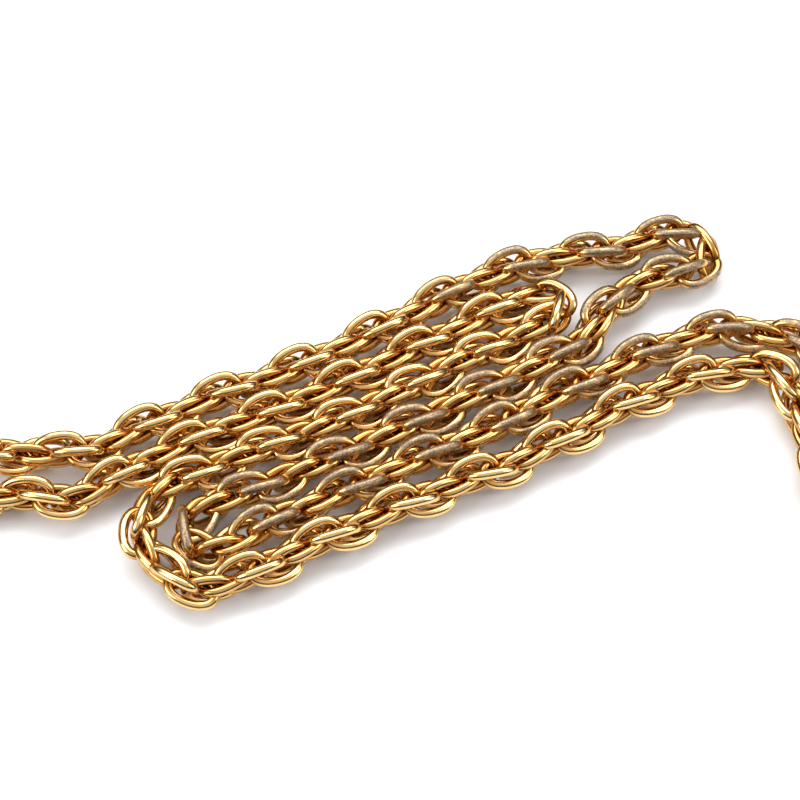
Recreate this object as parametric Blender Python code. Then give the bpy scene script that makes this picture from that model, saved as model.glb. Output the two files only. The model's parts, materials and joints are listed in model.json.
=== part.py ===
# Eyeglasses chain strap: a loose rope chain laid down in a flat double
# zigzag, with a ring, a lobster clasp, a crimped ferrule and a rubber
# temple loop with a slide bead at each end.  Metres, +Z up, floor at z = 0.

import math

import bmesh
import bpy
from mathutils import Matrix, Vector

MM = 0.001

# Where the middle of the whole strap sits in the lists of route points.
LAYOUT_MIDDLE = (-17.37, -11.54)

# Chain: one tube stands for each run of interlocked links.
CHAIN_D = 4.4
RUN_GAP = 0.4
NAPE_GAP = 1.2
STRAIGHT_STEP = 10.0
TURN_STEP = 3.0
TURN_RADIUS = 9.0

# Route of the chain's first half, from its left-hand end to the nape.
HALF_A = [
    (-79, 13), (-73.8, 5), (-67.3, -2), (-59.2, -6.9), (-49.8, -8.5),
    (-40.3, -8.1), (-31.9, -4), (-23.4, 0.3), (-14.6, 4.1), (-6.2, 8.6),
    (2, 13.5), (10.2, 18.4), (18.9, 22), (28.4, 23.8), (34.4, 25.7),
    (38.2, 26.5), (41.1, 25), (41.1, 22), (38.1, 20.3), (31.4, 17.6),
    (27.8, 14.2), (24.8, 9.5), (17.9, 4.7), (9.4, 0), (1, -4.5),
    (-7.5, -8.9), (-15.9, -12.7), (-22, -15.6), (-25.3, -17.4), (-26.4, -20.2),
    (-24.2, -22.2), (-20.6, -21.4), (-14.7, -18), (-6.2, -13.7), (2.3, -9.5),
    (10.9, -5.3), (19.1, -0.4), (27.5, 4.1), (36, 8.5), (45.2, 10.7),
    (54.1, 7.7), (62.3, 2.7), (69, -4), (72.1, -10.4), (72.3, -13),
]

# Route of the second half, from its left-hand end to the nape.
HALF_B = [
    (-79, -36), (-73.9, -28.1), (-67.5, -21.2), (-59.4, -16.4), (-50.2, -15),
    (-40.7, -14.8), (-32.8, -10.1), (-24.4, -5.7), (-15.8, -1.9), (-7.4, 2.3),
    (0.8, 7), (9, 11.6), (14.5, 14.8), (17.9, 16.1), (20.5, 14.6),
    (20.2, 12), (17.6, 10.6), (13.8, 8.5), (6, 4.3), (-2.1, -0.5),
    (-10.5, -4.8), (-18.9, -8.6), (-26.1, -11.9), (-30.9, -15.2), (-32.2, -20),
    (-29.7, -25), (-25, -27.6), (-19.6, -26.4), (-12.1, -22.4), (-3.7, -18.1),
    (4.8, -14.1), (13.4, -10.4), (21.7, -5.8), (29.7, -0.9), (38.3, 2.9),
    (46.4, 4.6), (51, 0.4), (52.9, -8.6), (56.1, -17.6), (62.6, -22.8),
    (68.6, -20.9), (72.1, -15.6), (72.3, -13),
]

# Each half is split into runs at these distances from its left-hand end.
SPLITS_A = [66.0, 128.0, 182.0, 236.0, 290.0]
SPLITS_B = [56.0, 104.0, 134.0, 206.0, 262.0]

# Round rings, standing upright on the floor.
RING_R = 2.2
RING_WIRE_D = 0.8
RING_Z = RING_R + RING_WIRE_D / 2
END_RING_GAP = 0.7
END_RING_X = END_RING_GAP + RING_WIRE_D / 2 + RING_R

# Flat plates and lobster clasp, all on one mid-height.
PLATE_Z = 2.3
EYE_CLEARANCE = 0.6
EYE_HOLE_R = RING_WIRE_D / 2 + EYE_CLEARANCE
EYE_WALL = 0.8
EYE_R = EYE_HOLE_R + EYE_WALL
EYE_T = 1.0
CLASP_X = END_RING_X + RING_R - 0.1
ROOT_BACK = 1.3
ROOT_FRONT = 6.4
ROOT_HALF_W = 2.45
ROOT_T = 2.5
SLOT_BACK = 1.8
SLOT_FRONT = 5.45
HOOK_IN_R = 2.1
HOOK_BAR_W = 1.0
HOOK_OUT_R = HOOK_IN_R + HOOK_BAR_W
HOOK_LAP = 0.2
HOOK_X = ROOT_FRONT - HOOK_LAP + HOOK_IN_R
HOOK_T = 1.3
HOOK_TIP_IN_DEG = 70.0
HOOK_TIP_OUT_DEG = 81.0
FIT_GAP = 0.3
PIVOT = (4.6, 1.4)
PIN_D = 0.7
BORE_R = PIN_D / 2 + FIT_GAP
SLOT_T = 1.5
LEVER_T = SLOT_T - 2 * FIT_GAP
LEVER_HUB_WALL = 0.4
LEVER_HUB_R = BORE_R + LEVER_HUB_WALL
GATE_HALF_W = 0.4
NUB = (4.7, -3.3)
NUB_R = 0.6
SPRING_R = 0.33
SPRING_WIRE_D = 0.22
SPRING_X = (2.2, 3.15)
SPRING_Y = 0.75
SPRING_TURNS = 3

# Ring between clasp and ferrule: it hangs over the far wall of the hook.
LINK_AXIS_X = CLASP_X + HOOK_X + (HOOK_OUT_R + HOOK_IN_R) / 2
LINK_RING_HANG = 0.6
LINK_RING_X = LINK_AXIS_X + LINK_RING_HANG

# Crimped ferrule with its eye, and the rubber loop it grips.
FERRULE_X = LINK_RING_X + RING_R - 0.1
LOOP_CORD_D = 1.6
LEG_Y = (LOOP_CORD_D + FIT_GAP) / 2
BORE_HALF_W = LEG_Y + LOOP_CORD_D / 2 + FIT_GAP
BORE_HALF_H = LOOP_CORD_D / 2 + FIT_GAP
CUP_WALL = 0.55
CUP_BACK = FERRULE_X + 1.4
CUP_FLOOR = 0.6
CUP_LEN = 4.2
LEG_START = CUP_BACK + CUP_FLOOR + FIT_GAP
LEG_LEN = 16.2
HEAD_LEN = 13.5
HEAD_HALF_W = 5.0
HEAD_STEPS = 11
HEAD_Z = LOOP_CORD_D / 2
BEAD_WALL = 0.7
BEAD_LEN = 4.5
BEAD_X = CUP_BACK + CUP_LEN + 0.6

for old in list(bpy.data.objects):
    bpy.data.objects.remove(old, do_unlink=True)


def material(name, colour, metallic, roughness):
    mat = bpy.data.materials.new(name)
    mat.use_nodes = True
    shader = mat.node_tree.nodes["Principled BSDF"]
    shader.inputs["Base Color"].default_value = (*colour, 1.0)
    shader.inputs["Metallic"].default_value = metallic
    shader.inputs["Roughness"].default_value = roughness
    return mat


GOLD = material("gold_plate", (0.86, 0.58, 0.20), 1.0, 0.22)
STEEL = material("spring_steel", (0.62, 0.61, 0.58), 1.0, 0.32)
RUBBER = material("clear_rubber", (0.09, 0.085, 0.08), 0.0, 0.55)


# ---------------------------------------------------------------- routes

def smooth_route(points, per_span=16):
    """Even curve through every route point."""
    pts = [Vector(p) for p in points]
    pts.insert(0, 2 * pts[0] - pts[1])
    pts.append(2 * pts[-1] - pts[-2])
    out = []
    for i in range(1, len(pts) - 2):
        p0, p1, p2, p3 = pts[i - 1:i + 3]
        for k in range(per_span):
            t = k / per_span
            a = 2 * p1
            b = (p2 - p0) * t
            c = (2 * p0 - 5 * p1 + 4 * p2 - p3) * t ** 2
            d = (3 * p1 - p0 - 3 * p2 + p3) * t ** 3
            out.append(0.5 * (a + b + c + d))
    out.append(pts[-2])
    return out


def distances(route):
    out = [0.0]
    for a, b in zip(route, route[1:]):
        out.append(out[-1] + (b - a).length)
    return out


def at(route, dist, s):
    """Point of the route s millimetres from its start."""
    s = min(max(s, 0.0), dist[-1])
    lo, hi = 0, len(dist) - 1
    while hi - lo > 1:
        mid = (lo + hi) // 2
        if dist[mid] <= s:
            lo = mid
        else:
            hi = mid
    span = dist[hi] - dist[lo]
    t = (s - dist[lo]) / span if span else 0.0
    return route[lo].lerp(route[hi], t)


def bend_radius(route, dist, s):
    a, b, c = (at(route, dist, s + d) for d in (-2.0, 0.0, 2.0))
    turn = (b - a).angle(c - b, 0.0)
    return 2.0 / turn if turn > 1e-4 else 1e4


def run_points(route, dist, s0, s1):
    """Points along one run, closer together where the chain turns."""
    marks = [s0]
    while marks[-1] < s1:
        s = marks[-1]
        ahead = s + TURN_STEP
        tight = min(bend_radius(route, dist, ahead + d) for d in (0.0, TURN_STEP))
        step = TURN_STEP if tight < TURN_RADIUS else STRAIGHT_STEP
        probe = s + TURN_STEP
        while step > TURN_STEP and probe < s + STRAIGHT_STEP:
            if bend_radius(route, dist, probe + TURN_STEP / 2) < TURN_RADIUS:
                step = max(probe - s, TURN_STEP)
                break
            probe += 1.0
        marks.append(s + step)
    marks[-1] = s1
    if len(marks) > 2 and marks[-1] - marks[-2] < TURN_STEP * 0.6:
        marks.pop(-2)
    return [at(route, dist, s) for s in marks]


def tube(name, points, diameter, mat, origin=None):
    """A round tube along the points, with both ends closed."""
    curve = bpy.data.curves.new(name, "CURVE")
    curve.dimensions = "3D"
    curve.bevel_depth = diameter / 2 * MM
    curve.bevel_resolution = 4
    curve.use_fill_caps = True
    spline = curve.splines.new("POLY")
    spline.points.add(len(points) - 1)
    spline.use_smooth = True
    for spot, p in zip(spline.points, points):
        spot.co = (p[0] * MM, p[1] * MM, p[2] * MM, 1.0)
    curve.materials.append(mat)
    obj = bpy.data.objects.new(name, curve)
    bpy.context.scene.collection.objects.link(obj)
    return obj


def chain_half(tag, route_points, splits):
    route = smooth_route(route_points)
    dist = distances(route)
    edges = [0.0] + splits + [dist[-1]]
    for i in range(len(edges) - 1):
        s0 = edges[i] + (RUN_GAP / 2 if i else 0.0)
        last = i == len(edges) - 2
        s1 = edges[i + 1] - (NAPE_GAP if last else RUN_GAP) / 2
        flat = run_points(route, dist, s0, s1)
        spots = [
            (p.x - LAYOUT_MIDDLE[0], p.y - LAYOUT_MIDDLE[1], CHAIN_D / 2)
            for p in flat
        ]
        tube(f"chain_{tag}_{i + 1}", spots, CHAIN_D, GOLD)
    start = at(route, dist, 0.0)
    ahead = at(route, dist, 4.0)
    way = start - ahead
    heading = math.atan2(way.y, way.x)
    place = Vector((start.x - LAYOUT_MIDDLE[0], start.y - LAYOUT_MIDDLE[1], 0.0))
    return place, heading


# ------------------------------------------------- shapes of the fittings
# Fittings are drawn with X leading away from the chain's end and Y to the
# left, in millimetres; every shape is measured from its own joint's axis.

def from_bmesh(name, bm, mat, smooth=False):
    bmesh.ops.recalc_face_normals(bm, faces=bm.faces[:])
    mesh = bpy.data.meshes.new(name)
    bm.to_mesh(mesh)
    bm.free()
    mesh.materials.append(mat)
    for poly in mesh.polygons:
        poly.use_smooth = smooth
    return mesh


def prism(outline, z0, z1):
    bm = bmesh.new()
    low = [bm.verts.new((x * MM, y * MM, z0 * MM)) for x, y in outline]
    high = [bm.verts.new((x * MM, y * MM, z1 * MM)) for x, y in outline]
    bm.faces.new(low[::-1])
    bm.faces.new(high)
    n = len(outline)
    for i in range(n):
        j = (i + 1) % n
        bm.faces.new((low[i], low[j], high[j], high[i]))
    return bm


def plate(outline, thickness):
    return prism(outline, PLATE_Z - thickness / 2, PLATE_Z + thickness / 2)


def arc(cx, cy, r, a0, a1, n):
    out = []
    for i in range(n + 1):
        a = math.radians(a0 + (a1 - a0) * i / n)
        out.append((cx + r * math.cos(a), cy + r * math.sin(a)))
    return out


def disc(cx, cy, r, n=32):
    return arc(cx, cy, r, 0, 360, n)[:-1]


def combine(name, base, steps, mat):
    """Join and cut simple solids into one body."""
    body = bpy.data.objects.new("working_body", from_bmesh("w", base, mat))
    bpy.context.scene.collection.objects.link(body)
    others = []
    for kind, bm in steps:
        tool = bpy.data.objects.new("working_tool", from_bmesh("t", bm, mat))
        bpy.context.scene.collection.objects.link(tool)
        mod = body.modifiers.new(kind, "BOOLEAN")
        mod.operation = kind
        mod.solver = "EXACT"
        mod.object = tool
        others.append(tool)
    graph = bpy.context.evaluated_depsgraph_get()
    graph.update()
    mesh = bpy.data.meshes.new_from_object(body.evaluated_get(graph))
    mesh.name = name
    for tool in others:
        bpy.data.objects.remove(tool, do_unlink=True)
    bpy.data.objects.remove(body, do_unlink=True)
    return mesh


def ring_shape():
    """Upright round wire ring about its own centre."""
    bm = bmesh.new()
    rows = []
    turns, sides = 40, 12
    for i in range(turns):
        a = 2 * math.pi * i / turns
        row = []
        for k in range(sides):
            b = 2 * math.pi * k / sides
            r = RING_R + RING_WIRE_D / 2 * math.cos(b)
            y = RING_WIRE_D / 2 * math.sin(b)
            spot = (r * math.cos(a) * MM, y * MM, (RING_Z + r * math.sin(a)) * MM)
            row.append(bm.verts.new(spot))
        rows.append(row)
    for i in range(turns):
        one, two = rows[i], rows[(i + 1) % turns]
        for k in range(sides):
            m = (k + 1) % sides
            bm.faces.new((one[k], two[k], two[m], one[m]))
    return bm


def eye_hole(x):
    return plate(disc(x, 0.0, EYE_HOLE_R), EYE_T * 3)


def clasp_body_shape():
    eye = plate(disc(0.0, 0.0, EYE_R), EYE_T)
    root = [
        (ROOT_BACK, -1.4), (2.5, -ROOT_HALF_W), (ROOT_FRONT, -ROOT_HALF_W),
        (ROOT_FRONT, ROOT_HALF_W), (2.5, ROOT_HALF_W), (ROOT_BACK, 1.4),
    ]
    hook = arc(HOOK_X, 0.0, HOOK_OUT_R, -178, HOOK_TIP_OUT_DEG, 44)
    hook += arc(HOOK_X, 0.0, HOOK_IN_R, HOOK_TIP_IN_DEG, -178, 36)
    slot = [
        (SLOT_BACK, -5.0), (SLOT_FRONT, -5.0), (SLOT_FRONT, 0.1),
        (ROOT_FRONT + 1.0, 0.1), (ROOT_FRONT + 1.0, 5.0), (SLOT_BACK, 5.0),
    ]
    steps = [
        ("UNION", plate(root, ROOT_T)),
        ("DIFFERENCE", plate(slot, SLOT_T)),
        ("UNION", plate(hook, HOOK_T)),
        ("DIFFERENCE", plate(disc(*PIVOT, BORE_R, 24), ROOT_T * 2)),
        ("DIFFERENCE", eye_hole(0.0)),
    ]
    return combine("clasp_body", eye, steps, GOLD)


def lever_shape():
    """Gate arm, hub and thumb nub in one flat piece, about the pin."""
    tip_in = Vector(arc(HOOK_X, 0.0, HOOK_IN_R, 0, HOOK_TIP_IN_DEG, 1)[1])
    tip_out = Vector(arc(HOOK_X, 0.0, HOOK_OUT_R, 0, HOOK_TIP_OUT_DEG, 1)[1])
    reach = (tip_in - Vector(PIVOT)).length - FIT_GAP
    aim = (tip_in + tip_out) / 2 - Vector(PIVOT)
    mid = math.degrees(math.atan2(aim.y, aim.x))
    half = math.degrees(GATE_HALF_W / reach)
    arm = [(0.0, -0.55)]
    arm += arc(0.0, 0.0, reach, mid - half, mid + half, 4)
    arm += [(0.0, 0.75)]
    nx, ny = NUB[0] - PIVOT[0], NUB[1] - PIVOT[1]
    tail = [(nx - 0.4, ny), (nx + 0.4, ny), (0.4, 0.0), (-0.4, 0.0)]
    steps = [
        ("UNION", plate(arm, LEVER_T)),
        ("UNION", plate(tail, LEVER_T)),
        ("UNION", plate(disc(nx, ny, NUB_R, 20), LEVER_T)),
        ("DIFFERENCE", plate(disc(0.0, 0.0, BORE_R, 24), LEVER_T * 3)),
    ]
    hub = plate(disc(0.0, 0.0, LEVER_HUB_R, 32), LEVER_T)
    return combine("clasp_lever", hub, steps, GOLD)


def oval(half_w, half_h, n=10):
    """Flat-sided oval, wide along Y, seen along X."""
    side = half_w - half_h
    right = arc(side, 0.0, half_h, -90, 90, n)
    left = arc(-side, 0.0, half_h, 90, 270, n)
    return right + left


def sleeve(outer, inner, x0, x1, floor=None):
    """Oval sleeve along X; with a floor it is a cup open at x1."""
    bm = bmesh.new()

    def loop(shape, x):
        return [bm.verts.new((x * MM, y * MM, (PLATE_Z + z) * MM)) for y, z in shape]

    def bridge(one, two):
        n = len(one)
        for i in range(n):
            j = (i + 1) % n
            bm.faces.new((one[i], one[j], two[j], two[i]))

    out0, out1 = loop(outer, x0), loop(outer, x1)
    in1 = loop(inner, x1)
    in0 = loop(inner, x0 if floor is None else x0 + floor)
    bridge(out0, out1)
    bridge(out1, in1)
    bridge(in1, in0)
    if floor is None:
        bridge(in0, out0)
    else:
        bm.faces.new(in0)
        bm.faces.new(out0)
    return bm


def ferrule_shape():
    back = CUP_BACK - FERRULE_X
    cup = sleeve(
        oval(BORE_HALF_W + CUP_WALL, BORE_HALF_H + CUP_WALL),
        oval(BORE_HALF_W, BORE_HALF_H), back, back + CUP_LEN, CUP_FLOOR,
    )
    neck = [(0.0, -1.2), (back + 0.3, -1.2), (back + 0.3, 1.2), (0.0, 1.2)]
    steps = [
        ("UNION", plate(disc(0.0, 0.0, EYE_R), EYE_T)),
        ("UNION", plate(neck, EYE_T)),
        ("DIFFERENCE", eye_hole(0.0)),
    ]
    return combine("ferrule", cup, steps, GOLD)


def coil_shape():
    """Closing spring, lying along X."""
    bm = bmesh.new()
    rows = []
    per_turn, sides = 12, 6
    count = SPRING_TURNS * per_turn
    length = SPRING_X[1] - SPRING_X[0]
    for i in range(count + 1):
        a = 2 * math.pi * i / per_turn
        out = Vector((0.0, math.cos(a), math.sin(a)))
        x = SPRING_X[0] + length * i / count
        row = []
        for k in range(sides):
            b = 2 * math.pi * k / sides
            side = Vector((math.sin(b), 0.0, 0.0)) + out * math.cos(b)
            mid = Vector((x, SPRING_Y, PLATE_Z)) + out * SPRING_R
            row.append(bm.verts.new((mid + side * (SPRING_WIRE_D / 2)) * MM))
        rows.append(row)
    for one, two in zip(rows, rows[1:]):
        for k in range(sides):
            m = (k + 1) % sides
            bm.faces.new((one[k], one[m], two[m], two[k]))
    bm.faces.new(rows[0])
    bm.faces.new(rows[-1])
    return bm


def loop_points():
    """Centreline of the rubber loop, from one leg round to the other."""
    side = [(0.0, LEG_Y, PLATE_Z), (LEG_LEN * 0.5, LEG_Y, PLATE_Z)]
    for i in range(HEAD_STEPS + 1):
        a = math.pi * i / HEAD_STEPS
        along = (1 - math.cos(a)) / 2
        x = LEG_LEN + HEAD_LEN * along
        leg = LEG_Y * math.cos(a / 2) ** 2
        y = leg + HEAD_HALF_W * 1.25 * math.sin(a) * math.sin(a / 2)
        drop = min(1.0, along / 0.6)
        z = PLATE_Z + (HEAD_Z - PLATE_Z) * drop * drop * (3 - 2 * drop)
        side.append((x, y, z))
    other = [(x, -y, z) for x, y, z in side[-2::-1]]
    return side + other


SHAPES = {
    "ring": from_bmesh("ring", ring_shape(), GOLD, smooth=True),
    "clasp_body": clasp_body_shape(),
    "clasp_lever": lever_shape(),
    "clasp_pin": from_bmesh(
        "clasp_pin", plate(disc(0.0, 0.0, PIN_D / 2, 20), ROOT_T), STEEL),
    "clasp_spring": from_bmesh("clasp_spring", coil_shape(), STEEL, smooth=True),
    "ferrule": ferrule_shape(),
    "slide_bead": from_bmesh("slide_bead", sleeve(
        oval(BORE_HALF_W + BEAD_WALL, BORE_HALF_H + BEAD_WALL),
        oval(BORE_HALF_W, BORE_HALF_H), 0.0, BEAD_LEN), GOLD),
}


def fit_end(tag, place, heading):
    """Hang one set of fittings on the end of a chain half."""
    turn = Matrix.Rotation(heading, 4, "Z")

    def put(name, shape, x, y=0.0, shift=0.0):
        data = SHAPES[shape]
        if shift:
            data = data.copy()
            data.transform(Matrix.Translation((shift * MM, 0.0, 0.0)))
        obj = bpy.data.objects.new(f"{name}_{tag}", data)
        spot = place * MM + turn @ Vector((x * MM, y * MM, 0.0))
        obj.matrix_world = Matrix.Translation(spot) @ turn
        bpy.context.scene.collection.objects.link(obj)
        return obj

    near_wire = END_RING_X - RING_R
    put("end_ring", "ring", near_wire, shift=RING_R)
    put("clasp_body", "clasp_body", CLASP_X)
    put("clasp_lever", "clasp_lever", CLASP_X + PIVOT[0], PIVOT[1])
    put("clasp_pin", "clasp_pin", CLASP_X + PIVOT[0], PIVOT[1])
    put("clasp_spring", "clasp_spring", CLASP_X)
    put("link_ring", "ring", LINK_AXIS_X, shift=LINK_RING_X - LINK_AXIS_X)
    put("ferrule", "ferrule", FERRULE_X)
    put("slide_bead", "slide_bead", BEAD_X)

    loop = tube(f"temple_loop_{tag}", loop_points(), LOOP_CORD_D, RUBBER)
    spot = place * MM + turn @ Vector((LEG_START * MM, 0.0, 0.0))
    loop.matrix_world = Matrix.Translation(spot) @ turn


for half_tag, half_points, half_splits in (
    ("a", HALF_A, SPLITS_A), ("b", HALF_B, SPLITS_B),
):
    end_place, end_heading = chain_half(half_tag, half_points, half_splits)
    fit_end(half_tag, end_place, end_heading)
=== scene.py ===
# Eyeglasses chain strap: a loose gold rope chain folded in a flat double
# zigzag, with a lobster clasp and a rubber temple loop at each end.

import json
import math

import bpy
import numpy as np
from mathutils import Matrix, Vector


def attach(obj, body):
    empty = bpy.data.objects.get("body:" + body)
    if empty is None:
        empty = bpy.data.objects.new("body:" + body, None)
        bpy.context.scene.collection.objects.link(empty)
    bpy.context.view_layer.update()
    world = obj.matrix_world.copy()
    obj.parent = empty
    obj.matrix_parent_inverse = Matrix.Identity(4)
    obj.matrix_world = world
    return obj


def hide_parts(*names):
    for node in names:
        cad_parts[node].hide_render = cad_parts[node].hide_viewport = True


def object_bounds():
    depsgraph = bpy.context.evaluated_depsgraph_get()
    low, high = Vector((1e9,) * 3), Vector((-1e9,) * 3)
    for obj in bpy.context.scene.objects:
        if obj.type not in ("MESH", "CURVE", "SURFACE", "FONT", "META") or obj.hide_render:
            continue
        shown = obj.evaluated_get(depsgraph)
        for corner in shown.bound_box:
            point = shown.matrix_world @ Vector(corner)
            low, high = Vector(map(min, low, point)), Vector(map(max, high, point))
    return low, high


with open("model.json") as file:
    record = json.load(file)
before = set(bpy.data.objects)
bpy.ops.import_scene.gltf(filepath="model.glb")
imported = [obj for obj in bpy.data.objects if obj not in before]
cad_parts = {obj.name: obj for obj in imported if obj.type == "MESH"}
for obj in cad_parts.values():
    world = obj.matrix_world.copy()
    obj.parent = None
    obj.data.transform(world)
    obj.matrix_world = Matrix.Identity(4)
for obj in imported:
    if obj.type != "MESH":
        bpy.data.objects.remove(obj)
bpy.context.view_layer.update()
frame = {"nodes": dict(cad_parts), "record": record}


# ------------------------------------------------------------------ camera
# The strap lies flat and is seen from in front and well above it, through
# a long lens.  Only the folded middle of the chain fills the view.

MM = 0.001
FOLDS_MIDDLE = (17.37, 11.54, 2.5)
EYE_HEIGHT_DEG = 57.0
EYE_DISTANCE = 289.0
camera = bpy.data.cameras.new("camera")
camera.lens = 100.0
camera.sensor_width = 36.0
camera.clip_start = 0.005
eye = bpy.data.objects.new("camera", camera)
rise = math.radians(EYE_HEIGHT_DEG)
back_off = Vector((0.0, -math.cos(rise), math.sin(rise))) * EYE_DISTANCE
eye.location = (Vector(FOLDS_MIDDLE) + back_off) * MM
eye.rotation_euler = (math.radians(90.0 - EYE_HEIGHT_DEG), 0.0, 0.0)
bpy.context.scene.collection.objects.link(eye)
bpy.context.scene.camera = eye


# ------------------------------------------------------------- rope chain
# Oval links of round brass wire, soldered shut and gold plated.  Each
# link passes through the two before it, a fifth of a turn further round,
# with its front end lying on top: a loose right-handed rope.

ROUTE_MIDDLE = (-17.37, -11.54)
ROUTE_Z = 3.15
END_Z = 2.62
END_RISE = 12.0
HALF_A = [
    (-79, 13), (-73.8, 5), (-67.3, -2), (-59.2, -6.9), (-49.8, -8.5),
    (-40.3, -8.1), (-31.9, -4), (-23.4, 0.3), (-14.6, 4.1), (-6.2, 8.6),
    (2, 13.5), (10.2, 18.4), (18.9, 22), (28.4, 23.8), (34.4, 25.7),
    (38.2, 26.5), (41.1, 25), (41.1, 22), (38.1, 20.3), (31.4, 17.6),
    (27.8, 14.2), (24.8, 9.5), (17.9, 4.7), (9.4, 0), (1, -4.5),
    (-7.5, -8.9), (-15.9, -12.7), (-22, -15.6), (-25.3, -17.4), (-26.4, -20.2),
    (-24.2, -22.2), (-20.6, -21.4), (-14.7, -18), (-6.2, -13.7), (2.3, -9.5),
    (10.9, -5.3), (19.1, -0.4), (27.5, 4.1), (36, 8.5), (45.2, 10.7),
    (54.1, 7.7), (62.3, 2.7), (69, -4), (72.1, -10.4), (72.3, -13),
]
HALF_B = [
    (-79, -36), (-73.9, -28.1), (-67.5, -21.2), (-59.4, -16.4), (-50.2, -15),
    (-40.7, -14.8), (-32.8, -10.1), (-24.4, -5.7), (-15.8, -1.9), (-7.4, 2.3),
    (0.8, 7), (9, 11.6), (14.5, 14.8), (17.9, 16.1), (20.5, 14.6),
    (20.2, 12), (17.6, 10.6), (13.8, 8.5), (6, 4.3), (-2.1, -0.5),
    (-10.5, -4.8), (-18.9, -8.6), (-26.1, -11.9), (-30.9, -15.2), (-32.2, -20),
    (-29.7, -25), (-25, -27.6), (-19.6, -26.4), (-12.1, -22.4), (-3.7, -18.1),
    (4.8, -14.1), (13.4, -10.4), (21.7, -5.8), (29.7, -0.9), (38.3, 2.9),
    (46.4, 4.6), (51, 0.4), (52.9, -8.6), (56.1, -17.6), (62.6, -22.8),
    (68.6, -20.9), (72.1, -15.6), (72.3, -13),
]
LOOK_AHEAD = 1.2

LINK_PITCH = 2.17
FIRST_LINK = 1.2
FINE_STEP = 0.05
LINKS_PER_TURN = 5
LINK_LONG = 6.2
LINK_WIDE = 3.7
LINK_ROUNDNESS = 2.2
LINK_OFF_AXIS = 0.6
LINK_LEAN_DEG = 5.0
LINK_TUCK_DEG = 8.0
WIRE_D = 1.28
SETTLE = 0.65
LINK_STEPS = 42
WIRE_SIDES = 12
STRAND_R = LINK_OFF_AXIS + LINK_WIDE / 2 + WIRE_D / 2

# How unevenly the links lie: angles in radians, distances in millimetres.
TURN_SPREAD = 0.07
TILT_SPREAD = 0.03
TUCK_SPREAD = 0.02
OFF_AXIS_SPREAD = 0.03
ALONG_SPREAD = 0.05


def distances(route):
    """How far along the route each of its points is."""
    steps = np.linalg.norm(np.diff(route, axis=0), axis=1)
    return np.concatenate([[0.0], np.cumsum(steps)])


def smooth_route(points, per_span=16):
    """Even curve through every route point, in the row frame, in mm."""
    pts = [np.array(p, float) for p in points]
    pts.insert(0, 2 * pts[0] - pts[1])
    pts.append(2 * pts[-1] - pts[-2])
    out = []
    for i in range(1, len(pts) - 2):
        p0, p1, p2, p3 = pts[i - 1:i + 3]
        for t in np.arange(per_span) / per_span:
            bend = (2 * p0 - 5 * p1 + 4 * p2 - p3) * t ** 2
            swing = (3 * p1 - p0 - 3 * p2 + p3) * t ** 3
            out.append(0.5 * (2 * p1 + (p2 - p0) * t + bend + swing))
    out.append(pts[-2])
    flat = np.array(out) - np.array(ROUTE_MIDDLE)
    rise = np.clip(distances(flat) / END_RISE, 0, 1)
    height = END_Z + (ROUTE_Z - END_Z) * rise ** 2 * (3 - 2 * rise)
    return np.column_stack([flat, height])


def along_route(route, s):
    """Points and directions of the route, s millimetres from its start."""
    dist = distances(route)

    def point(where):
        return np.stack([np.interp(where, dist, route[:, i]) for i in range(3)], 1)

    ahead = point(np.minimum(s + LOOK_AHEAD, dist[-1]))
    behind = point(np.maximum(s - LOOK_AHEAD, 0.0))
    way = ahead - behind
    return point(s), way / np.linalg.norm(way, axis=1)[:, None]


def route_length(route):
    return float(np.linalg.norm(np.diff(route, axis=0), axis=1).sum())


def link_places(length, first, easing):
    """Where along the route each link sits, and how far round it leans.
    The easing lists where the rope has been twisted by a part of a turn."""
    s = np.arange(0.0, length, FINE_STEP)
    marks, shifts = zip(*easing)
    shift = np.interp(s, marks, shifts)
    turns = s / (LINK_PITCH * LINKS_PER_TURN) + shift
    want = np.arange(
        math.ceil(np.interp(first, s, turns) * LINKS_PER_TURN),
        math.floor(turns[-1] * LINKS_PER_TURN),
    )
    places = np.interp(want / LINKS_PER_TURN, turns, s)
    return places, want / LINKS_PER_TURN * 2 * math.pi


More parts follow.
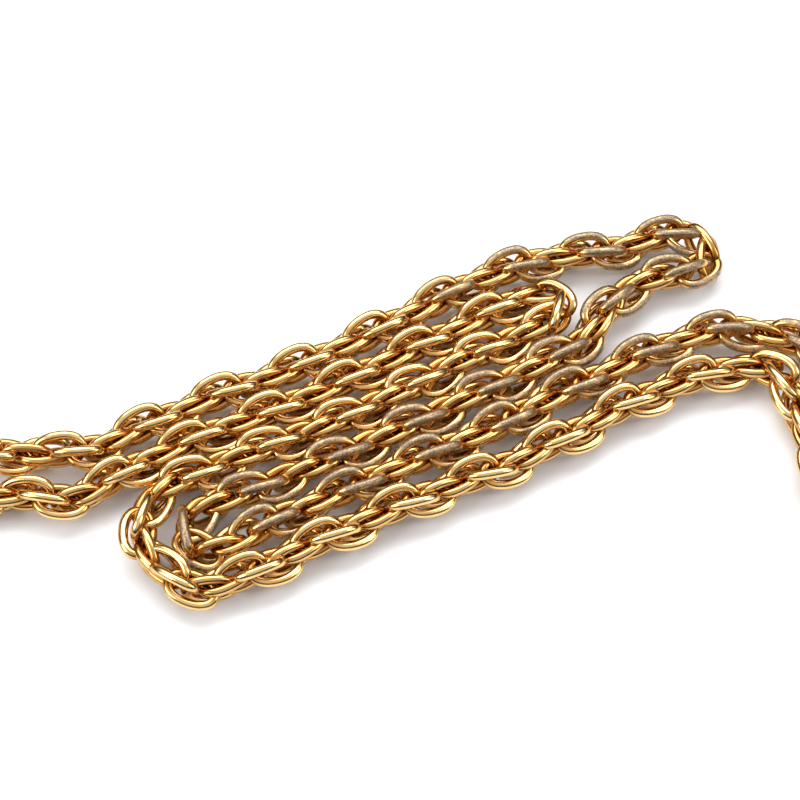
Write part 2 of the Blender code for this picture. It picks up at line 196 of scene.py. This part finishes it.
def lay_links(name, route, places, leans, worn_at, rng):
    """One mesh of separate links, each a closed loop of round wire."""
    spots, ways = along_route(route, places)
    t = np.linspace(0, 2 * math.pi, LINK_STEPS, endpoint=False)
    power = 2.0 / LINK_ROUNDNESS
    long_way = np.sign(np.cos(t)) * np.abs(np.cos(t)) ** power * LINK_LONG / 2
    wide_way = np.sign(np.sin(t)) * np.abs(np.sin(t)) ** power * LINK_WIDE / 2
    around = np.linspace(0, 2 * math.pi, WIRE_SIDES, endpoint=False)
    up = np.array([0.0, 0.0, 1.0])
    lean = math.radians(LINK_LEAN_DEG)
    points, depth, worn = [], [], []
    for spot, way, turn in zip(spots, ways, leans):
        side = np.cross(way, up)
        turn = turn + math.atan(SETTLE * way[0]) + rng.normal(0.0, TURN_SPREAD)
        out = up * math.cos(turn) + side * math.sin(turn)
        across = np.cross(way, out)
        tilt = lean + rng.normal(0.0, TILT_SPREAD)
        tuck = math.radians(LINK_TUCK_DEG) + rng.normal(0.0, TUCK_SPREAD)
        level = way * math.cos(tilt) + across * math.sin(tilt)
        axis = level * math.cos(tuck) + out * math.sin(tuck)
        outer = out * math.cos(tuck) - level * math.sin(tuck)
        flat = np.cross(axis, outer)
        mid = spot + out * (LINK_OFF_AXIS + rng.normal(0.0, OFF_AXIS_SPREAD))
        mid = mid + way * rng.normal(0.0, ALONG_SPREAD)
        line = mid + long_way[:, None] * axis + wide_way[:, None] * outer
        run = np.roll(line, -1, 0) - np.roll(line, 1, 0)
        run /= np.linalg.norm(run, axis=1)[:, None]
        outward = np.cross(run, flat)
        ring = (
            outward[:, None, :] * np.cos(around)[None, :, None]
            + flat[None, None, :] * np.sin(around)[None, :, None]
        )
        verts = line[:, None, :] + ring * (WIRE_D / 2)
        # Depth in from the strand's outer surface: it sets the painted shade between the
        # links and keeps the worn patches on the outer curves.
        from_axis = verts - spot
        from_axis = from_axis - (from_axis @ way)[..., None] * way
        radius = np.linalg.norm(from_axis, axis=2)
        depth.append(np.clip((STRAND_R - radius) / STRAND_R, 0, 1).ravel())
        # How worn each link is, from its place; the worn patches' dark colour is partly a
        # painted reflection of the dark room above.
        worn.append(np.full(verts.shape[0] * verts.shape[1], worn_at(spot)))
        points.append(verts.reshape(-1, 3))
    count = LINK_STEPS * WIRE_SIDES
    i = np.arange(LINK_STEPS)[:, None]
    k = np.arange(WIRE_SIDES)[None, :]
    i2 = (i + 1) % LINK_STEPS
    k2 = (k + 1) % WIRE_SIDES
    corners = [
        i * WIRE_SIDES + k,
        i2 * WIRE_SIDES + k,
        i2 * WIRE_SIDES + k2,
        i * WIRE_SIDES + k2,
    ]
    quads = np.stack(corners, -1).reshape(-1, 4)
    faces = np.concatenate([quads + n * count for n in range(len(points))])
    mesh = bpy.data.meshes.new(name)
    mesh.from_pydata(np.concatenate(points) * MM, [], faces)
    for label, values in (("depth", depth), ("worn", worn)):
        layer = mesh.attributes.new(label, "FLOAT", "POINT")
        layer.data.foreach_set("value", np.concatenate(values).astype(np.float32))
    mesh.polygons.foreach_set("use_smooth", [True] * len(mesh.polygons))
    mesh.update()
    obj = bpy.data.objects.new(name, mesh)
    bpy.context.scene.collection.objects.link(obj)
    return obj


def add(nodes, kind, **values):
    """A shader node with its settings and its unlinked inputs."""
    node = nodes.new(kind)
    for key, value in values.items():
        if hasattr(node, key):
            setattr(node, key, value)
        else:
            node.inputs[key].default_value = value
    return node


def blend_colours(tree, factor, one, two):
    """From one to two by the factor; two may be a plain colour."""
    mix = add(tree.nodes, "ShaderNodeMix", data_type="RGBA")
    tree.links.new(factor, mix.inputs[0])
    tree.links.new(one, mix.inputs[6])
    if isinstance(two, tuple):
        mix.inputs[7].default_value = two
    else:
        tree.links.new(two, mix.inputs[7])
    return mix.outputs[2]


def ramp(tree, source, *stops):
    """Colour ramp with two (position, grey or colour) stops."""
    node = tree.nodes.new("ShaderNodeValToRGB")
    tree.links.new(source, node.inputs[0])
    for n, (place, colour) in enumerate(stops):
        if not isinstance(colour, tuple):
            colour = (colour, colour, colour)
        spot = node.color_ramp.elements[n]
        spot.position = place
        spot.color = (*colour, 1.0)
    return node.outputs[0]


def noise(tree, scale, detail=3.0, roughness=0.55):
    coords = tree.nodes.new("ShaderNodeTexCoord")
    node = add(
        tree.nodes, "ShaderNodeTexNoise",
        Scale=scale, Detail=detail, Roughness=roughness,
    )
    tree.links.new(coords.outputs["Object"], node.inputs["Vector"])
    return node.outputs[0]


def multiply(tree, a, b):
    node = add(tree.nodes, "ShaderNodeMath", operation="MULTIPLY", use_clamp=True)
    tree.links.new(a, node.inputs[0])
    tree.links.new(b, node.inputs[1])
    return node.outputs[0]


def bump(tree, height, distance, strength):
    node = add(tree.nodes, "ShaderNodeBump", Strength=strength, Distance=distance)
    tree.links.new(height, node.inputs["Height"])
    return node.outputs[0]


GOLD_DEEP = (0.76, 0.48, 0.175)
GOLD_PALE = (0.86, 0.59, 0.26)
# Painted shade: the dark amber laid deep between the links, where the strand shades
# itself.
PAINTED_SHADE_AMBER = (0.44, 0.20, 0.045, 1.0)
# The scuff colours: grey-brown worn plating, its darkness partly a painted reflection of
# the dark room above.
SCUFF_AND_REFLECTION_DARK = (0.20, 0.135, 0.075)
SCUFF_AND_REFLECTION_PALE = (0.52, 0.40, 0.27)
SCUFF_ROUGH = (0.46, 0.46, 0.46, 1.0)


def plated_gold(name, with_painted_shade_and_wear):
    """Polished gold plate.  With shade and wear, the base gold of the outer
    curves turns to a painted amber shade deep between the links, and dull
    grey-brown grainy patches stand for worn plating, with a painted
    reflection of the dark room above in their colour."""
    mat = bpy.data.materials.new(name)
    mat.use_nodes = True
    tree = mat.node_tree
    shader = tree.nodes["Principled BSDF"]
    shader.inputs["Metallic"].default_value = 1.0
    clouds = noise(tree, 420.0)
    tone = ramp(tree, clouds, (0.3, GOLD_DEEP), (0.7, GOLD_PALE))
    marks = noise(tree, 2600.0, 4.0, 0.7)
    if with_painted_shade_and_wear:
        deep = add(tree.nodes, "ShaderNodeAttribute", attribute_name="depth")
        inside = deep.outputs["Fac"]
        # Painted shade: the gold turns amber towards the strand's middle, between the
        # links.
        painted_shade = ramp(tree, inside, (0.22, 0.0), (0.66, 1.0))
        tone = blend_colours(tree, painted_shade, tone, PAINTED_SHADE_AMBER)
        wear = add(tree.nodes, "ShaderNodeAttribute", attribute_name="worn")
        rubbed = wear.outputs["Fac"]
        patches = ramp(tree, noise(tree, 900.0, 5.0, 0.65), (0.28, 0.35), (0.50, 1.0))
        outside = ramp(tree, inside, (0.18, 1.0), (0.33, 0.0))
        # Worn patches on the outer curves: real roughness and grain, with a colour that is
        # partly a painted reflection of the dark room above.
        scuff_and_reflection = multiply(tree, multiply(tree, rubbed, patches), outside)
        grain = noise(tree, 5200.0, 2.0)
        scuff_and_reflection_specks = ramp(tree, grain, (0.40, SCUFF_AND_REFLECTION_DARK), (0.68, SCUFF_AND_REFLECTION_PALE))
        tone = blend_colours(tree, scuff_and_reflection, tone, scuff_and_reflection_specks)
        shine = ramp(tree, marks, (0.3, 0.14), (0.75, 0.24))
        rough = blend_colours(tree, scuff_and_reflection, shine, SCUFF_ROUGH)
        ripple = ramp(tree, marks, (0.0, 0.45), (1.0, 0.55))
        height = blend_colours(tree, scuff_and_reflection, ripple, grain)
        dent = bump(tree, height, 0.00006, 0.5)
    else:
        rough = ramp(tree, marks, (0.3, 0.30), (0.75, 0.44))
        dent = bump(tree, marks, 0.00003, 0.25)
    tree.links.new(tone, shader.inputs["Base Color"])
    tree.links.new(rough, shader.inputs["Roughness"])
    tree.links.new(dent, shader.inputs["Normal"])
    return mat


chain_gold = plated_gold("rope chain gold plate", True)

UPPER_RUN_SLOPE = 0.62
UPPER_RUN_ABOVE = 2.0
WEAR_FADE = 8.0


def worn_side(spot):
    """Half a is scuffed all along, but on its upper run the wear only
    comes in to the right of the folds' middle.  The scuffs' dark colour
    is partly a painted reflection of the dark room above."""
    x, y = spot[0] - FOLDS_MIDDLE[0], spot[1] - FOLDS_MIDDLE[1]
    if y > UPPER_RUN_SLOPE * x + UPPER_RUN_ABOVE:
        return float(np.clip(x / WEAR_FADE, 0, 1))
    return 1.0


def polished(spot):
    return 0.0


# Millimetres along the half, and the twist there as a part of a turn.
TWISTS_A = [
    (0, -0.31), (110, -0.31), (185, -0.26), (200, -0.26),
    (246, -0.71), (341, -0.71),
]
TWISTS_B = [
    (0, 0.04), (105, 0.04), (148, 0.27), (160, 0.27),
    (210, 0.46), (322, 0.46),
]

for tag, points, easing, worn_at, seed in (
    ("a", HALF_A, TWISTS_A, worn_side, 11),
    ("b", HALF_B, TWISTS_B, polished, 12),
):
    route = smooth_route(points)
    length = route_length(route)
    places, leans = link_places(length, FIRST_LINK, easing)
    rng = np.random.default_rng(seed)
    links = lay_links(f"rope_chain_{tag}", route, places, leans, worn_at, rng)
    links.data.materials.append(chain_gold)
    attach(links, "chain")
    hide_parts(*[f"chain_{tag}_{n}" for n in range(1, 7)])


# ------------------------------------------- rings, clasps and ferrules
# Jump rings of drawn brass wire, a cast lobster clasp with its thumb
# lever, a crimped ferrule and a slide bead at each end, all gold plated.

fitting_gold = plated_gold("fitting gold plate", False)
GOLD_PIECES = (
    "end_ring", "clasp_body", "clasp_lever", "link_ring", "ferrule", "slide_bead",
)
for tag in ("a", "b"):
    for piece in GOLD_PIECES:
        frame["nodes"][f"{piece}_{tag}"].data.materials[0] = fitting_gold


# ------------------------------------------------ clasp pins and springs
# The lever turns on a riveted steel pin, and a small coil of steel spring
# wire inside the clasp pushes it shut.  Both have a fine satin grain.

STEEL_DARK = (0.50, 0.49, 0.47)
STEEL_PALE = (0.66, 0.65, 0.62)
drawn_steel = bpy.data.materials.new("drawn spring steel")
drawn_steel.use_nodes = True
tree = drawn_steel.node_tree
steel = tree.nodes["Principled BSDF"]
steel.inputs["Metallic"].default_value = 1.0
streaks = noise(tree, 3800.0, 3.0, 0.6)
cloud = noise(tree, 700.0)
metal = ramp(tree, cloud, (0.3, STEEL_DARK), (0.7, STEEL_PALE))
satin = ramp(tree, streaks, (0.3, 0.24), (0.75, 0.42))
tree.links.new(metal, steel.inputs["Base Color"])
tree.links.new(satin, steel.inputs["Roughness"])
tree.links.new(bump(tree, streaks, 0.00003, 0.4), steel.inputs["Normal"])
for tag in ("a", "b"):
    for piece in ("clasp_pin", "clasp_spring"):
        frame["nodes"][f"{piece}_{tag}"].data.materials[0] = drawn_steel


# ----------------------------------------------------------- temple loops
# Soft black silicone rubber cord, bent double and crimped in the ferrule.
# The slide bead squeezes its two legs together to grip a temple.

LOOP_CORD_D = 1.6
LEG_GAP = 0.3
LEG_BACK = 2.3
LEG_LEN = 16.2
LEG_STEPS = 10
HEAD_LEN = 13.5
HEAD_HALF_W = 5.0
HEAD_FULLNESS = 1.25
HEAD_STEPS = 44
LEG_Z = 2.3
HEAD_Z = LOOP_CORD_D / 2
DROP_PART = 0.6

RUBBER_DARK = (0.012, 0.012, 0.013)
RUBBER_DUSTY = (0.045, 0.043, 0.042)
black_rubber = bpy.data.materials.new("black silicone rubber")
black_rubber.use_nodes = True
tree = black_rubber.node_tree
soft = tree.nodes["Principled BSDF"]
skin = noise(tree, 2400.0, 4.0, 0.6)
dust = noise(tree, 260.0, 3.0, 0.5)
black = ramp(tree, dust, (0.35, RUBBER_DARK), (0.72, RUBBER_DUSTY))
matt_skin = ramp(tree, skin, (0.3, 0.42), (0.75, 0.62))
tree.links.new(black, soft.inputs["Base Color"])
tree.links.new(matt_skin, soft.inputs["Roughness"])
tree.links.new(bump(tree, skin, 0.00006, 0.5), soft.inputs["Normal"])


def loop_line(hinge, ahead):
    """Centre of the rubber cord, from one leg round the head to the other."""
    leg_y = (LOOP_CORD_D + LEG_GAP) / 2
    half = [(x, leg_y, LEG_Z) for x in np.linspace(0.0, LEG_LEN, LEG_STEPS)[:-1]]
    for i in range(HEAD_STEPS + 1):
        a = math.pi * i / HEAD_STEPS
        along = (1 - math.cos(a)) / 2
        y = leg_y * math.cos(a / 2) ** 2
        y += HEAD_HALF_W * HEAD_FULLNESS * math.sin(a) * math.sin(a / 2)
        drop = min(1.0, along / DROP_PART)
        z = LEG_Z + (HEAD_Z - LEG_Z) * drop * drop * (3 - 2 * drop)
        half.append((LEG_LEN + HEAD_LEN * along, y, z))
    line = half + [(x, -y, z) for x, y, z in half[-2::-1]]
    out = []
    for x, y, z in line:
        x += LEG_BACK
        out.append((
            hinge[0] + (ahead[0] * x - ahead[1] * y) * MM,
            hinge[1] + (ahead[1] * x + ahead[0] * y) * MM,
            z * MM,
        ))
    return out


joints = {joint["name"]: joint for joint in frame["record"]["behaviour"]["joints"]}
for tag in ("a", "b"):
    hinge = joints[f"temple_{tag}_swing"]["pos_m"]
    ahead = joints[f"bead_{tag}_slide"]["axis"]
    cord = bpy.data.curves.new(f"rubber_loop_{tag}", "CURVE")
    cord.dimensions = "3D"
    cord.bevel_depth = LOOP_CORD_D / 2 * MM
    cord.bevel_resolution = 6
    cord.use_fill_caps = True
    line = loop_line(hinge, ahead)
    spline = cord.splines.new("POLY")
    spline.points.add(len(line) - 1)
    for point, place in zip(spline.points, line):
        point.co = (*place, 1.0)
    spline.use_smooth = True
    cord.materials.append(black_rubber)
    rubber_loop = bpy.data.objects.new(f"rubber_loop_{tag}", cord)
    bpy.context.scene.collection.objects.link(rubber_loop)
    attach(rubber_loop, f"temple_{tag}")
    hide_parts(f"temple_loop_{tag}")


# ------------------------------------------------------- floor and lights
# A plain white table and broad soft lamps.

TABLE_SIZE = 6.0
TABLE_GAP = 0.00005
lowest = min(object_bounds()[0][2], 0.0)
bpy.ops.mesh.primitive_plane_add(
    size=TABLE_SIZE, location=(0.0, 0.0, lowest - TABLE_GAP)
)
floor = bpy.context.object
floor.name = "table"
paper = bpy.data.materials.new("white table")
paper.use_nodes = True
matt = paper.node_tree.nodes["Principled BSDF"]
matt.inputs["Base Color"].default_value = (0.88, 0.88, 0.88, 1.0)
matt.inputs["Roughness"].default_value = 0.9
floor.data.materials.append(paper)

LOW_GREY = (0.05, 0.05, 0.055)
HIGH_WHITE = (0.88, 0.88, 0.92)
world = bpy.data.worlds.new("studio")
world.use_nodes = True
sky = world.node_tree
heights = sky.nodes.new("ShaderNodeSeparateXYZ")
facing = sky.nodes.new("ShaderNodeTexCoord")
sky.links.new(facing.outputs["Generated"], heights.inputs[0])
wash = ramp(sky, heights.outputs[2], (0.36, LOW_GREY), (0.80, HIGH_WHITE))
sky.links.new(wash, sky.nodes["Background"].inputs[0])
bpy.context.scene.world = world
bpy.context.scene.view_settings.view_transform = "Standard"

LAMP_AIM = (0.02, 0.01, 0.0)


def lamp(name, place, size, power):
    light = bpy.data.lights.new(name, "AREA")
    light.shape = "RECTANGLE"
    light.size, light.size_y = size
    light.energy = power
    obj = bpy.data.objects.new(name, light)
    obj.location = place
    way = Vector(LAMP_AIM) - Vector(place)
    obj.rotation_euler = way.to_track_quat("-Z", "Y").to_euler()
    bpy.context.scene.collection.objects.link(obj)


lamp("lamp over", (0.0, 0.30, 0.55), (0.8, 0.4), 4.2)
lamp("lamp left", (-0.55, -0.2, 0.4), (0.4, 0.4), 2.6)
lamp("lamp right", (0.5, -0.1, 0.35), (0.2, 0.4), 1.0)
